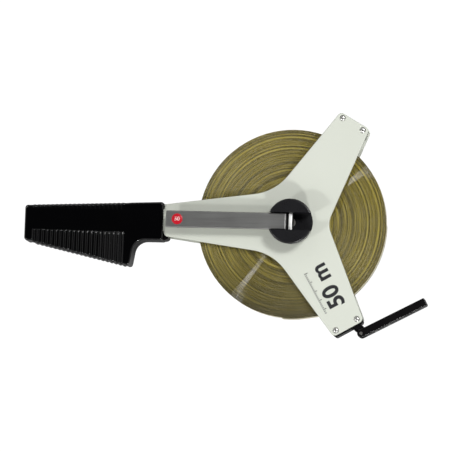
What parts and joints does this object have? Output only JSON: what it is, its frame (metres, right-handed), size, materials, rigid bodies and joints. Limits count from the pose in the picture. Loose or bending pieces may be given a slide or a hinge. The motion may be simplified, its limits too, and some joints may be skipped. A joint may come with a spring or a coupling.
{
  "type": "surveyor tape reel",
  "caption": "Open-frame surveyor's tape reel: three-arm frame, ribbed side handle, wound steel tape, slotted hub with a folding crank, and a hinged pull bar at the tape's end.",
  "frame": {"origin": "on the reel axis, on the flat rear cap the reel lies on", "axes": "+Z along the reel axis towards the crank side, -X along the handle"},
  "size_m": [0.4065, 0.2243, 0.0445],
  "materials": {
    "frame_paint": "satin off-white coat",
    "black_plastic": "satin",
    "hub_plastic": "satin",
    "handle_grip": "satin moulded grip",
    "brushed_steel": "brushed along its length",
    "polished_steel": "bright",
    "screw_steel": "zinc plated",
    "tape_coat": "coated steel tape, cut edges outwards",
    "white_acetal": "smooth",
    "red_plastic": "gloss"
  },
  "bodies": {
    "frame": {"front_plate": "frame_paint", "rear_plate": "frame_paint", "frame_rivets": "polished_steel", "upper_end_block": "black_plastic", "mouth_block": "black_plastic", "upper_brace": "brushed_steel", "roller_pins": "polished_steel", "tape_lead": "tape_coat", "tape_end_link": "brushed_steel", "end_fitting": "black_plastic", "link_rivets": "polished_steel", "front_bush": "white_acetal", "rear_bush": "white_acetal", "rear_cap": "black_plastic", "rear_cap_screws": "screw_steel", "handle_front_shell": "handle_grip", "handle_rear_shell": "handle_grip", "handle_screws": "screw_steel", "neck_block": "black_plastic"},
    "reel": {"axle": "screw_steel", "axle_key": "screw_steel", "retaining_ring": "screw_steel", "spool_drum": "black_plastic", "spool_front_flange": "black_plastic", "spool_rear_flange": "black_plastic", "flange_screws": "screw_steel", "tape_coil": "tape_coat", "crank_hub": "hub_plastic", "hub_screw": "screw_steel", "crank_hinge_pin": "polished_steel"},
    "crank": {"crank_strip": "brushed_steel", "knob_stud": "screw_steel", "crank_badge": "red_plastic"},
    "knob": {"crank_knob": "black_plastic"},
    "entry_roller_body": {"entry_roller": "white_acetal"},
    "exit_roller_body": {"exit_roller": "white_acetal"},
    "pull_bar_body": {"pull_bar": "black_plastic", "bar_pin": "polished_steel", "bar_rivets": "polished_steel"}
  },
  "joints": [
    {"name": "reel_spin", "type": "hinge", "parent": "frame", "child": "reel", "pos_m": [0, 0, 0], "axis": [0, 0, 1], "continuous": true},
    {"name": "crank_fold", "type": "hinge", "parent": "reel", "child": "crank", "pos_m": [0, 0, 0.0356], "axis": [0, 1, 0], "range_deg": [0, 180]},
    {"name": "knob_spin", "type": "hinge", "parent": "crank", "child": "knob", "pos_m": [-0.1135, 0, 0.0385], "axis": [0, 0, 1], "continuous": true},
    {"name": "entry_roller_spin", "type": "hinge", "parent": "frame", "child": "entry_roller_body", "pos_m": [0.04265, -0.09442, 0.0155], "axis": [0, 0, 1], "continuous": true},
    {"name": "exit_roller_spin", "type": "hinge", "parent": "frame", "child": "exit_roller_body", "pos_m": [0.05733, -0.09168, 0.0155], "axis": [0, 0, 1], "continuous": true},
    {"name": "pull_bar_swing", "type": "hinge", "parent": "frame", "child": "pull_bar_body", "pos_m": [0.07267, -0.10846, 0.0155], "axis": [0, 0, 1], "range_deg": [-120, 0]}
  ]
}
